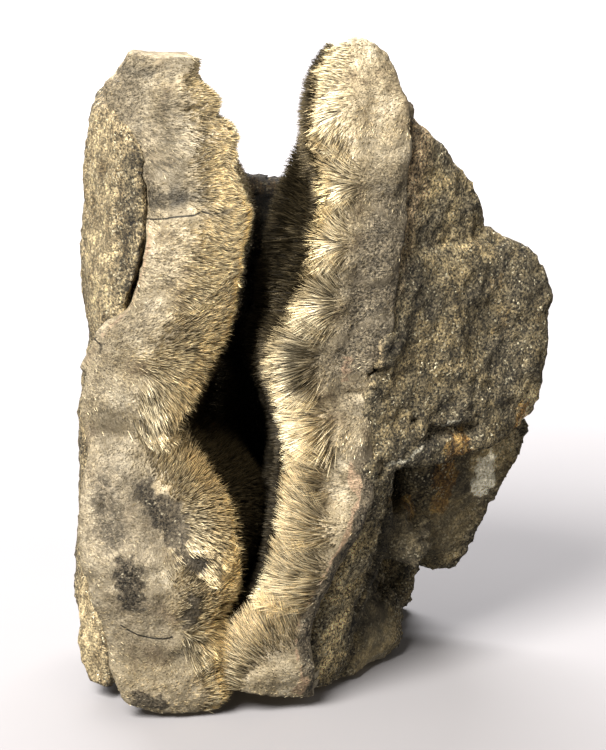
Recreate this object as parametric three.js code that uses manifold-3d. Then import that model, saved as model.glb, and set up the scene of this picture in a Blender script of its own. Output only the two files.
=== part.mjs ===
// A millerite specimen: two upright walls of brassy, radiating millerite that face each other
// across an open cleft, on the dark, granular sulphide rock that they grew from.
// Millimetres, +Z up. X runs to the right along the broken front, Y runs back from it,
// and the origin is the middle of the foot.

import * as THREE from "three";
import { ConvexGeometry } from "three/addons/geometries/ConvexGeometry.js";
import { ImprovedNoise } from "three/addons/math/ImprovedNoise.js";
import { mergeVertices } from "three/addons/utils/BufferGeometryUtils.js";
import Module from "manifold-3d";

const wasm = await Module();
wasm.setup();

// ---- Driving dimensions
const RIGHT_TOP = 77.6;
const LEFT_TOP = 76;
const GAP = 0.4; // between two pieces that grew against each other
const NEEDLE = 2.1; // free length of the needles in the cleft
const CLEFT_FLOOR = 11; // below this height the two walls have grown together
const CLEFT_BACK = 11; // where the cleft ends on the rock behind it
const TOP_FALL = 11; // how much lower the broken tops are at the back
const FLARE = [0.19, 0.13]; // how much each wall leans away from the cleft, per depth, at the top
const ROCK_EDGE = 5.8; // longest triangle edge on the front of the rock, twice that behind

// Outlines of the broken front as [height, x], from the foot up.
const LEFT_OUTSIDE = [
  [0, -17.6], [1, -19.8], [2.4, -22], [4, -23.4], [9, -24], [15, -25], [20, -25.7], [28, -25.9],
  [36, -25.4], [40, -24.4], [44, -22], [50, -20.2], [56, -18.9], [62, -18.4], [66, -18.8],
  [68.5, -21], [70.5, -23.4], [72.5, -23.6], [74.5, -22.4], [76, -20.8],
];
const LEFT_CLEFT = [
  [0, -12.2], [2, -10.9], [6, -10.7], [10, -10.2], [13, -9], [16, -7.8], [21, -7.7], [25, -8.5],
  [29, -10.2], [33, -12.9], [34.9, -14.2], [36.5, -13], [39.5, -11.6], [44, -9.8], [49, -8.6],
  [54, -8], [59, -7], [62.5, -8], [66, -8.6], [69, -9.4], [72, -10.2], [74, -12], [76, -12.4],
];
const RIGHT_CLEFT = [
  [0, -10.4], [6, -10.3], [10, -9.8], [13, -8.6], [14.5, -7], [17, -6.4], [21, -5.6], [25, -5],
  [28.5, -4.7], [31, -4.1], [33, -4.5], [36.5, -5.7], [41, -6.4], [43.5, -6], [46, -4.8], [50, -3.1],
  [54, -2], [58, -0.9], [61.4, 0.1], [64.5, -0.9], [68, -1.3], [72, -1.1], [75.5, -0.5], [77.5, 1],
];
const RIGHT_RIM = [
  [0, -1.8], [3, -1.8], [7, -2.2], [11, -1.7], [14.4, -0.8], [17.4, 0.9], [20.4, 3.2], [25, 5.1],
  [30, 5.3], [35, 5], [39, 6], [46, 7.4], [53, 8], [60, 8.7], [66, 9.5], [70, 9.6], [73.5, 8.9],
  [77.6, 6.4],
];
// How far forward the middle of each front stands, as [height, y].
const LEFT_FRONT = [
  [0, -19], [3, -20.6], [8, -21.4], [15, -21.8], [22, -21.2], [29, -20], [34, -18.9], [39, -19.4],
  [47, -20.4], [57, -20.2], [66, -19.4], [72, -18.6], [76.7, -16.5],
];
const RIGHT_FRONT = [
  [0, -16], [6, -18.4], [13, -18.8], [24, -18.2], [34, -17.6], [46, -18.4], [60, -18.6], [70, -18],
  [77.5, -15.6],
];
// Rounded lobes of the crusts on the cleft as [y, height, radius, bulge].
const LEFT_LOBES = [
  [-9, 24, 12, 2.8], [-8, 45, 12, 0.9], [1, 34, 13, 2.5], [3, 20, 12, 1.2], [4, 50, 12, 1.4],
];
const RIGHT_LOBES = [
  [-6, 67, 13, 1.5], [-6, 53, 13, 3.6], [-5, 41, 11, 2.8], [-6, 28, 11, 1.2], [5, 46, 12, 2.2],
  [4, 32, 12, 1.8], [6, 61, 12, 1.2], [0, 19, 11, 1.4],
];
// Shells of sprays on the broken fronts as [x, height, radius, bulge].
const LEFT_SHELLS = [
  [-17, 20, 19, 2.2], [-16, 43, 12, 1], [-13, 56, 12, 0.8], [-15, 67, 11, 0.6], [-22, 8, 12, 0.8],
];
const RIGHT_SHELLS = [
  [4, 69, 12, 0.9], [3, 54.5, 11, 0.9], [0, 42, 9, 1], [0, 34, 7, 0.7], [0, 26, 9, 1],
  [-2, 17, 8, 0.9], [-5, 8, 11, 1.6],
];
// Convex masses of the rock, each the hull of its corners as [x, y, z].
const ROCK_MASSES = {
  upperFin: [
    [9.6, -15.2, 70.4], [8.6, -15.4, 60], [7.4, -15.2, 46], [13.4, -9.8, 65.4], [15.3, -7.8, 63],
    [16.7, -6, 60.4], [17.7, -4.4, 57], [19.2, -3, 54], [20, -2, 47], [5, 6, 66], [10, 6, 61],
    [15.6, 9, 52], [19, 11, 44], [3, 15, 56], [6, 14, 44],
  ],
  upperBlock: [
    [8, -15.4, 53], [7.3, -15.2, 44], [5.6, -14.6, 35], [5, -14, 29], [19, -3, 53.6], [21.6, -2, 52.4],
    [24.6, -0.6, 51.2], [26.7, 0.6, 48.6], [27.4, 1.6, 45.4], [27.2, 1, 40.6], [26.6, 1.6, 34.4],
    [25.3, 2.4, 30.4], [21.4, -3.4, 28.6], [14.5, -8, 27.2], [8, -12.6, 27.6], [19, 12, 46],
    [24, 12, 38], [20, 16, 28], [4, 16, 53], [2, 20, 40], [6, 20, 24],
  ],
  lowerBlock: [
    [25.2, 4.6, 28.6], [24, 4.8, 25], [22, 5, 21.8], [20.4, 5, 18.8], [19, 5, 15.8], [18.2, 5, 13],
    [17.2, 5, 10.3], [14, 5.2, 10.6], [11, 0.4, 17], [11.6, -3, 27.6], [8, 4, 14], [21, 16, 26],
    [16, 19, 13], [8, 20, 8], [6, 14, 28],
  ],
  crustBacking: [
    [6, -15, 30], [5.2, -15, 24], [3.8, -15, 20], [1.2, -15, 16.5], [-0.8, -14.8, 12],
    [-1.6, -14.4, 6], [-1.9, -13.6, 1.6], [8.6, -12, 27.8], [9, -8.6, 20], [6.6, -6, 12],
    [4.4, -5.4, 5], [1.6, -8.8, -1], [-2, 12, -1], [8, 12, 27], [7, 12, 8], [-6, 12, 2],
  ],
  backWall: [
    [-22, 11, 60], [-18, 16, 57], [-9, 18, 52], [1, 11, 54.2], [3, 19, 50], [-24, 10, 30],
    [-22, 19, 22], [8, 21, 24], [-21, 9, -1], [-17, 18, -1], [8, 8, -1], [6, 19, -1],
  ],
  rearFoot: [
    [4, 14, -1], [11.6, 20, -1], [8, 24, -1], [2, 21, -1], [11, 13, 4], [13, 15, 13], [6, 21, 16],
    [4, 12, 16],
  ],
  underLump: [
    [1.8, -8.6, -1], [4.4, -6.6, -1], [7.4, -1, -1], [9.8, 5, -1], [9, 11, -1], [2, 8, -1],
    [1.4, -9, 3], [5.6, -5.8, 4], [9.4, -0.6, 3.6], [10.6, 5, 6], [9.2, 4, 9.8], [5, 0, 11],
    [3, 8, 12],
  ],
  paleKnob: [
    [8.6, -5.4, 15], [11.6, -4.8, 13.6], [13.4, -2, 15.4], [13.2, -2.2, 18.4], [10.8, -4, 20.4],
    [8.2, -5.6, 19.2], [9, 3, 13.8], [13, 3, 16], [10, 3, 21],
  ],
  leftPlate: [
    [-18.4, -19, 66.4], [-18.6, -19.8, 59], [-19.4, -19.8, 52], [-20.6, -19, 46], [-23.4, -17.6, 41],
    [-22, -16.6, 70.6], [-24.6, -13.4, 69.2], [-25.8, -12.6, 62], [-26.2, -12, 55], [-25.8, -12.4, 47],
    [-25.6, -12.6, 41.5], [-23, 0, 71], [-21, 9, 68], [-17, 13, 65], [-25.6, 2, 60], [-24.4, 13, 56],
    [-25.2, 12, 42], [-17, 12, 44],
  ],
  leftLedge: [
    [-25.6, -10.6, 42.4], [-26.4, -11, 36], [-27, -11.4, 28], [-27.2, -12.2, 16.4], [-27.7, -12, 10],
    [-27.1, -12.2, 5], [-26.3, -12.4, 2.4], [-23.8, -14, 2.2], [-24.2, -14.8, 12], [-25, 12, 44],
    [-26.6, 4, 22], [-26, 11, 14], [-24, 10, 2], [-18, 12, 40], [-18, 12, 2],
  ],
};
// Chips struck off the rock: a point on each break and the way that it faces.
const CHIPS = [
  { at: [24, 12, 48], faces: [0.5, 0.6, 0.62] },
  { at: [14, 17, 54], faces: [0.2, 0.75, 0.6] },
  { at: [22, 15, 30], faces: [0.75, 0.65, -0.1] },
  { at: [-23, 13, 12], faces: [-0.6, 0.7, -0.35] },
  { at: [-10, 18.6, 44], faces: [-0.15, 0.9, 0.35] },
  { at: [-22, 14, 52], faces: [-0.6, 0.75, 0.3] },
  { at: [-4, 20.4, 12], faces: [-0.3, 0.95, -0.3] },
];
// Ledges left where slabs broke away, each the middle, size and turn (degrees) of the gap.
const LEDGES = [
  { at: [2, 21, 34], size: [14, 6, 16], turn: [8, 14, -6] },
  { at: [-16, 20, 30], size: [12, 7, 9], turn: [-6, -12, 12] },
  { at: [26, 12, 40], size: [7, 9, 8], turn: [12, 20, -24] },
  { at: [14, 21, 12], size: [9, 8, 10], turn: [10, 0, 18] },
];
// Pits and gouges in the rock as [x, y, z, radius].
const PITS = [
  [7.6, -15.4, 39.6, 1.5], [9.4, -8.4, 24.6, 2.6], [12.6, -4.8, 22.6, 2.4], [16.4, -1.4, 26.6, 2],
  [8.2, -5, 10.6, 2.2],
];

const clamp = THREE.MathUtils.clamp;
const lerp = THREE.MathUtils.lerp;
const smoothstep = THREE.MathUtils.smoothstep;

// A smooth curve through [height, value] pairs.
function profile(pairs) {
  const curve = new THREE.CubicInterpolant(
    Float32Array.from(pairs, (p) => p[0]),
    Float32Array.from(pairs, (p) => p[1]),
    1,
  );
  const low = pairs[0][0];
  const high = pairs[pairs.length - 1][0];
  return (z) => curve.evaluate(clamp(z, low, high))[0];
}

const leftOutside = profile(LEFT_OUTSIDE);
const leftCleft = profile(LEFT_CLEFT);
const rightCleft = profile(RIGHT_CLEFT);
const rightRim = profile(RIGHT_RIM);
const leftFront = profile(LEFT_FRONT);
const rightFront = profile(RIGHT_FRONT);

// Height of round lobes at (s, z), each a dome that runs into its neighbours.
function bulge(lobes, s, z) {
  let sum = 0;
  for (const [ls, lz, radius, height] of lobes) {
    const away = ((s - ls) ** 2 + (z - lz) ** 2) / radius ** 2;
    if (away < 1) sum += (height * (1 - away) ** 2) ** 5;
  }
  return sum ** 0.2;
}

// The two walls of the cleft, under the needles, whose tips reach the outlines above.
const open = (z) => smoothstep(z, CLEFT_FLOOR - 3, CLEFT_FLOOR + 4);
const flare = (y, z) => (y + 18) * smoothstep(z, 56, 70);
const softened = (outline, y, z) => {
  const blurred = (outline(z - 3.5) + outline(z + 3.5)) / 2;
  return lerp(outline(z), blurred, smoothstep(y, -15, 0));
};
const leftWall = (y, z) => {
  const tips = softened(leftCleft, y, z) - FLARE[0] * flare(y, z) + bulge(LEFT_LOBES, y, z);
  return tips - NEEDLE * open(z) - GAP / 2;
};
const rightWall = (y, z) => {
  const tips = softened(rightCleft, y, z) + FLARE[1] * flare(y, z) - bulge(RIGHT_LOBES, y, z);
  return Math.max(tips + NEEDLE * open(z), leftWall(y, z) + GAP + NEEDLE * open(z));
};

// A small wandering of the surfaces that all pieces share, so that what meets still meets.
const noise = new ImprovedNoise();
function wander(p) {
  const at = (scale, shift) => noise.noise(p.x / scale + shift, p.y / scale - shift, p.z / scale);
  return p.set(
    p.x + 0.9 * at(9, 3.1) + 0.2 * at(4.1, 11.7),
    p.y + 0.9 * at(9, 23.4) + 0.5 * at(4.3, 31.9),
    p.z + 0.6 * at(9, 41.3),
  );
}

// Turns a closed three.js geometry into a solid.
function solid(geometry) {
  for (const name of ["normal", "uv"]) geometry.deleteAttribute(name);
  const merged = mergeVertices(geometry, 1e-4);
  return new wasm.Manifold(
    new wasm.Mesh({
      numProp: 3,
      vertProperties: merged.attributes.position.array,
      triVerts: Uint32Array.from(merged.index.array),
    }),
  );
}

// Turns a solid back into a geometry.
function geometryOf(body) {
  const mesh = body.getMesh();
  return new THREE.BufferGeometry()
    .setAttribute("position", new THREE.BufferAttribute(mesh.vertProperties, 3))
    .setIndex(new THREE.BufferAttribute(mesh.triVerts, 1));
}

// Moves every corner of a geometry.
function moved(geometry, move) {
  const position = geometry.attributes.position;
  const p = new THREE.Vector3();
  for (let i = 0; i < position.count; i++) {
    move(p.fromBufferAttribute(position, i));
    position.setXYZ(i, p.x, p.y, p.z);
  }
  return geometry;
}

// A block of nx by ny by nz cells, each corner placed by its shares (u, v, w) of the block.
function block(nx, ny, nz, place) {
  const box = new THREE.BoxGeometry(1, 1, 1, nx, ny, nz).translate(0.5, 0.5, 0.5);
  return solid(moved(box, (p) => wander(p.set(...place(p.x, p.y, p.z)))));
}

// Halves every edge that is too long for its place, until none is.
function split(geometry) {
  let points = Array.from(geometry.attributes.position.array);
  let faces = Array.from(geometry.index.array);
  for (let again = true; again; ) {
    again = false;
    const middles = new Map();
    const longer = (a, b) => {
      const length = Math.hypot(...[0, 1, 2].map((k) => points[3 * a + k] - points[3 * b + k]));
      const y = (points[3 * a + 1] + points[3 * b + 1]) / 2;
      return length > ROCK_EDGE * (1 + smoothstep(y, 0, 12));
    };
    const middle = (a, b) => {
      if (!longer(a, b)) return -1;
      const key = a < b ? a + "," + b : b + "," + a;
      if (!middles.has(key)) {
        middles.set(key, points.length / 3);
        for (let k = 0; k < 3; k++) points.push((points[3 * a + k] + points[3 * b + k]) / 2);
      }
      return middles.get(key);
    };
    const next = [];
    for (let i = 0; i < faces.length; i += 3) {
      let [a, b, c] = faces.slice(i, i + 3);
      let [ab, bc, ca] = [middle(a, b), middle(b, c), middle(c, a)];
      const cuts = [ab, bc, ca].filter((m) => m >= 0).length;
      if (cuts) again = true;
      // Turns the corners so that the cut edges come first.
      while (cuts && cuts < 3 && !(ab >= 0 && (cuts === 1 || bc >= 0))) {
        [a, b, c, ab, bc, ca] = [b, c, a, bc, ca, ab];
      }
      if (cuts === 3) next.push(a, ab, ca, ab, b, bc, ca, bc, c, ab, bc, ca);
      else if (cuts === 2) next.push(a, ab, c, ab, bc, c, ab, b, bc);
      else if (cuts === 1) next.push(a, ab, c, ab, b, c);
      else next.push(a, b, c);
    }
    faces = next;
  }
  return new THREE.BufferGeometry()
    .setAttribute("position", new THREE.BufferAttribute(Float32Array.from(points), 3))
    .setIndex(new THREE.BufferAttribute(Uint32Array.from(faces), 1));
}

// Depth of a crust at height z, from its broken front (0) to the rock behind it (1).
const crustBack = (z) => CLEFT_BACK - 1.5 - 0.05 * z;

// The left crust: a thick wall of millerite with a bellied, broken front.
const leftHeight = (v, w, grow = 0) => lerp(-1 - grow, LEFT_TOP - TOP_FALL * v ** 2 + grow, w);
function leftDepth(u, v, z, grow = 0) {
  const bevel = lerp(3.4, 0.9, z / LEFT_TOP);
  const shells = bulge(LEFT_SHELLS, lerp(leftOutside(z), leftCleft(z), u), z);
  const front = leftFront(z) + bevel * u ** 4 + (1 - u) ** 8 - shells;
  return lerp(front - grow, crustBack(z) + grow, v);
}
function leftCrust(grow = 0, cells = [8, 8, 22]) {
  return block(...cells, (u, v, w) => {
    const z = leftHeight(v, w, grow);
    const y = leftDepth(u, v, z, grow);
    const outside = leftOutside(z) + 0.2 * (y - leftFront(z)) - grow;
    return [lerp(outside, leftWall(y, z) + grow, u), y, z];
  });
}

// The right crust: a band of sprays between the cleft and the rim of the rock.
function rightHeight(u, v, w, grow = 0) {
  const top = RIGHT_TOP - 1.4 * (2 * u - 0.9) ** 2 - TOP_FALL * v ** 2;
  return lerp(lerp(3.8, 1.2, u) - grow, top + grow, w);
}
function rightDepth(u, v, z, grow = 0) {
  const shells = bulge(RIGHT_SHELLS, lerp(rightCleft(z), rightRim(z), u), z);
  const front = rightFront(z) + 0.7 * (1 - u) ** 4 + u ** 6 - shells;
  return lerp(front - grow, crustBack(z) + grow, v);
}
function rightCrust(grow = 0, cells = [6, 8, 22]) {
  return block(...cells, (u, v, w) => {
    const z = rightHeight(u, v, w, grow);
    const y = rightDepth(u, v, z, grow);
    const rim = rightRim(z) - 0.1 * (y - rightFront(z)) + grow;
    return [lerp(rightWall(y, z) - grow, rim, u), y, z];
  });
}

// The needles on one wall as a sheet that reaches their tips. Its rows are those of the crust
// that it grows on, down to where the two walls have grown together.
function needleSheet(side) {
  return block(1, 8, 18, (u, v, w) => {
    const row = lerp(4 / 22, 1, w);
    const y = (z) => (side < 0 ? leftDepth(1, v, z) : rightDepth(0, v, z));
    const z = side < 0 ? leftHeight(v, row) : rightHeight(0, v, row);
    const [left, right] = [leftWall(y(z), z), rightWall(y(z), z)];
    const reach = Math.min(NEEDLE, 0.6 * (right - left));
    const root = 2 * GAP;
    const x = side < 0 ? lerp(left + root, left + reach, u) : lerp(right - reach, right - root, u);
    return [x, y(z), z];
  });
}

// The open cleft from wall to wall, which the rock keeps clear of.
function cleft() {
  return block(1, 6, 14, (u, v, w) => {
    const z = lerp(CLEFT_FLOOR, RIGHT_TOP + 14, w);
    const y = lerp(-30, CLEFT_BACK, v);
    return [lerp(leftWall(y, z) - 1, rightWall(y, z) + 1, u), y, z];
  });
}

// The rock: convex masses joined, broken and pitted, and cut to what grew on it.
function hostRock(left, right) {
  let rock;
  for (const corners of Object.values(ROCK_MASSES)) {
    const hull = new ConvexGeometry(corners.map((c) => new THREE.Vector3(...c)));
    const mass = solid(hull);
    rock = rock ? rock.add(mass) : mass;
  }
  for (const { at, faces } of CHIPS) {
    const chip = new THREE.BoxGeometry(60, 60, 60).translate(0, 0, 30);
    const turn = new THREE.Quaternion().setFromUnitVectors(
      new THREE.Vector3(0, 0, 1),
      new THREE.Vector3(...faces).normalize(),
    );
    chip.applyQuaternion(turn).translate(...at);
    rock = rock.subtract(solid(chip));
  }
  for (const { at, size, turn } of LEDGES) {
    const angles = turn.map((degrees) => THREE.MathUtils.degToRad(degrees));
    const slab = new THREE.BoxGeometry(...size);
    const turned = new THREE.Matrix4().makeRotationFromEuler(new THREE.Euler(...angles));
    rock = rock.subtract(solid(slab.applyMatrix4(turned).translate(...at)));
  }
  rock = solid(moved(split(geometryOf(rock)), wander));
  for (const [x, y, z, radius] of PITS) {
    rock = rock.subtract(solid(new THREE.IcosahedronGeometry(radius, 1).translate(x, y, z)));
  }
  return rock.subtract(cleft()).subtract(left).subtract(right);
}

// The flat spot that a piece rests on, and the crumbs that its cuts have freed left out.
const ground = solid(new THREE.BoxGeometry(90, 90, 20).translate(0, 0, -10));
function settled(body) {
  const bodies = body.subtract(ground).decompose();
  return bodies.sort((a, b) => b.volume() - a.volume())[0];
}

const MATERIALS = {
  host_rock: { color: 0x5b5348, roughness: 0.75, metalness: 0.2 },
  left_millerite: { color: 0xa8946c, roughness: 0.5, metalness: 0.6 },
  right_millerite: { color: 0xb39d70, roughness: 0.5, metalness: 0.6 },
  needle_lining: { color: 0xc9b27c, roughness: 0.35, metalness: 0.8 },
};

const pieces = {
  host_rock: hostRock(leftCrust(2 * GAP, [4, 4, 22]), rightCrust(2 * GAP, [3, 4, 22])),
  left_millerite: leftCrust(),
  right_millerite: rightCrust(),
  needle_lining: needleSheet(-1).add(needleSheet(1)),
};

const specimen = new THREE.Group();
for (const [name, body] of Object.entries(pieces)) {
  const look = new THREE.MeshStandardMaterial(MATERIALS[name]);
  const mesh = new THREE.Mesh(geometryOf(settled(body)), look);
  mesh.name = name;
  specimen.add(mesh);
}
const box = new THREE.Box3().setFromObject(specimen);
const middle = box.getCenter(new THREE.Vector3());
specimen.position.set(-middle.x, -middle.y, -box.min.z);

export default specimen;
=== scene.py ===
# %% [markdown]
# # A millerite specimen
# Millerite is a nickel sulphide that grows as brass-coloured needles. Here it lines both walls of
# an open cleft in dark sulphide rock. Where the fragment was broken out, each wall shows its crust
# from the side: compact and fibrous at the rock, free needle tips at the cleft.
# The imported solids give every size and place. This file puts the surface on them: rock relief,
# fibrous crusts, and the needles one by one.

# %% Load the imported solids
import math
from types import SimpleNamespace

import bpy
import numpy as np
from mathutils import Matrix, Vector
from mathutils.kdtree import KDTree


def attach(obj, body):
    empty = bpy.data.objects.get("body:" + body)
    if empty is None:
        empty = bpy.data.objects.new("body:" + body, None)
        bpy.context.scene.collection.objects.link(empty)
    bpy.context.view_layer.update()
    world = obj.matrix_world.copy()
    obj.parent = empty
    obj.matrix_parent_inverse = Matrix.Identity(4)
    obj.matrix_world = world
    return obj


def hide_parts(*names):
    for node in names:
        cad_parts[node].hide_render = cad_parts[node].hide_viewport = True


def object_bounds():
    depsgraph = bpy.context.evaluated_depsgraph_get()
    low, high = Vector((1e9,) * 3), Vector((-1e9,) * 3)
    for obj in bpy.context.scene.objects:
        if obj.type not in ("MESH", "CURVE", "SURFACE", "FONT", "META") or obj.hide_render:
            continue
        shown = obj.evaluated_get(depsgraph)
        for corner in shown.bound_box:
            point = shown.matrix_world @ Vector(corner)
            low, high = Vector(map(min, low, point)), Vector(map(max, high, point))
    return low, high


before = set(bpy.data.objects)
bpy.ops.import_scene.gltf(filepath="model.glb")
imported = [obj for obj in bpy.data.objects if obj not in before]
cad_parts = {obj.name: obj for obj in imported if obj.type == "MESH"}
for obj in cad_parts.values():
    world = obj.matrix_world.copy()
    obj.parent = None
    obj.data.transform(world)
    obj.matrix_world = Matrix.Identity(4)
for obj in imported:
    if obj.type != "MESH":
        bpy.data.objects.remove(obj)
cad_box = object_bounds()
MM = 0.001
size = cad_box[1] - cad_box[0]
print("solids:", sorted(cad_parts), "size in mm:", [round(s / MM, 1) for s in size])

# %% [markdown]
# ## The view
# The photo looks a little down on the broken front, from far enough away that upright edges stay
# upright. A long lens at 40 cm gives that, and it is the distance that the sizes were read at.

# %% Camera
VIEW_TARGET = Vector((-1.34, 0.66, 35.5)) * MM
VIEW_DOWN = math.radians(15)
VIEW_DISTANCE = 400 * MM
LENS = 164.35

camera = bpy.data.objects.new("camera", bpy.data.cameras.new("camera"))
camera.data.lens = LENS
camera.data.clip_start = 0.01
toward = Vector((0, math.cos(VIEW_DOWN), -math.sin(VIEW_DOWN)))
camera.location = VIEW_TARGET - toward * VIEW_DISTANCE
camera.rotation_euler = (math.radians(90) - VIEW_DOWN, 0, 0)
bpy.context.scene.collection.objects.link(camera)
bpy.context.scene.camera = camera
print("camera at", [round(c / MM) for c in camera.location], "mm")

# %% [markdown]
# ## Nodes in one line each
# Materials and Geometry Nodes are both graphs of nodes. One small function adds a node, sets it up
# and links it. Hex colours are read off a screen, so another turns them into the linear light that
# Blender mixes.

# %% Two helpers for node graphs
def linear(hex_colour):
    """The linear colour of an sRGB hex value."""
    parts = [int(hex_colour[i : i + 2], 16) / 255 for i in (0, 2, 4)]
    return [c / 12.92 if c <= 0.04045 else ((c + 0.055) / 1.055) ** 2.4 for c in parts] + [1.0]


def add(tree, kind, inputs=(), stops=(), **settings):
    """Adds a node. Each input is a value, an output, or a node, whose first output is meant."""
    node = tree.nodes.new(kind)
    for name, value in settings.items():
        setattr(node, name, value)
    for socket, value in dict(inputs).items():
        if isinstance(value, bpy.types.Node):
            value = next(output for output in value.outputs if output.enabled)
        if isinstance(value, bpy.types.NodeSocket):
            tree.links.new(value, node.inputs[socket])
        else:
            node.inputs[socket].default_value = value
    for i, (position, colour) in enumerate(stops):
        element = node.color_ramp.elements[i] if i < 2 else node.color_ramp.elements.new(position)
        element.position = position
        element.color = linear(colour)
    return node


def start_material(name):
    """An empty material with its tree and its Object coordinates, which are in metres."""
    material = bpy.data.materials.new(name)
    material.use_nodes = True
    tree = material.node_tree
    tree.nodes.clear()
    return material, tree, add(tree, "ShaderNodeTexCoord").outputs["Object"]


def stored_value(tree, name):
    """A number that each point of the piece carries."""
    return add(tree, "ShaderNodeAttribute", attribute_name=name).outputs["Fac"]


# %% [markdown]
# Patterns work in metres, so every scale is worked out from millimetres: noise of scale PER_MM / s
# has features about s millimetres wide. The real grain of the rock is 0.1 to 0.3 mm. One pixel of
# the photo is 0.12 mm, so that grain is drawn as it is, and only the finest dust is left out.

# %% Scale of patterns, and short names for what the graphs use most
PER_MM = 1000
NOISE, RAMP, RANGE = "ShaderNodeTexNoise", "ShaderNodeValToRGB", "ShaderNodeMapRange"
MATH, VECTOR_MATH, MIX = "ShaderNodeMath", "ShaderNodeVectorMath", "ShaderNodeMix"
NAMED, RANDOM = "GeometryNodeInputNamedAttribute", "FunctionNodeRandomValue"
PRINCIPLED, OUTPUT, BUMP = "ShaderNodeBsdfPrincipled", "ShaderNodeOutputMaterial", "ShaderNodeBump"
RGBA = {"data_type": "RGBA"}
STEP = {"interpolation_type": "SMOOTHSTEP"}
TIMES, SCALED = {"operation": "MULTIPLY"}, {"operation": "SCALE"}
FLOAT = {"data_type": "FLOAT"}


# %% [markdown]
# ### Grain
# Rock and crust break with the same grain: each one has its own shade, about one in twenty is a
# bright facet, and dark pits lie between them. In the rock a facet is metal that glints in the
# light; on the crust it is a pale speck, a painted glint. Both materials use this pattern.

# %% Grain of a broken sulphide
def grain_pattern(tree, place, strength):
    """The shade of each grain, where a facet glints, and the roughened normal."""
    cells = add(tree, "ShaderNodeTexVoronoi", {"Vector": place, "Scale": PER_MM / 0.21})
    grain = add(tree, "ShaderNodeSeparateColor", {"Color": cells.outputs["Color"]})
    dust = add(tree, NOISE, {"Vector": place, "Scale": PER_MM / 0.32, "Detail": 3, "Roughness": 0.8})
    clumps = add(tree, NOISE, {"Vector": place, "Scale": PER_MM / 1.3, "Detail": 2})
    own = add(tree, RANGE, {0: grain, 3: 0.4, 4: 1.6})
    pits = add(tree, RANGE, {0: dust, 1: 0.38, 2: 0.58, 3: 0.1, 4: 1.4}, **STEP)
    patchy = add(tree, RANGE, {0: clumps, 1: 0.3, 2: 0.7, 3: 0.5, 4: 1.5})
    shade = add(tree, MATH, {0: own, 1: pits}, **TIMES)
    shade = add(tree, MATH, {0: shade, 1: patchy}, **TIMES)
    facet = add(tree, RANGE, {0: grain.outputs["Green"], 1: 0.93, 2: 0.96})
    # Two heights: pits between the grains, and the tilt of each grain.
    lumps = add(tree, BUMP, {"Strength": strength, "Distance": 0.4 * MM, "Height": dust})
    tilts = add(
        tree,
        BUMP,
        {"Strength": strength, "Distance": 0.15 * MM, "Height": grain.outputs["Blue"], "Normal": lumps},
    )
    return shade, facet, tilts, dust


# %% [markdown]
# ### Sulphide rock, broken
# A massive rock of tiny sulphide grains, grey to golden brown, as rough to the eye as coarse
# sandpaper. Near the crusts it turns tan, because fibres still reach into it. Rust has crept out
# where water ran, and pale quartz shows in a few places.

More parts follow.
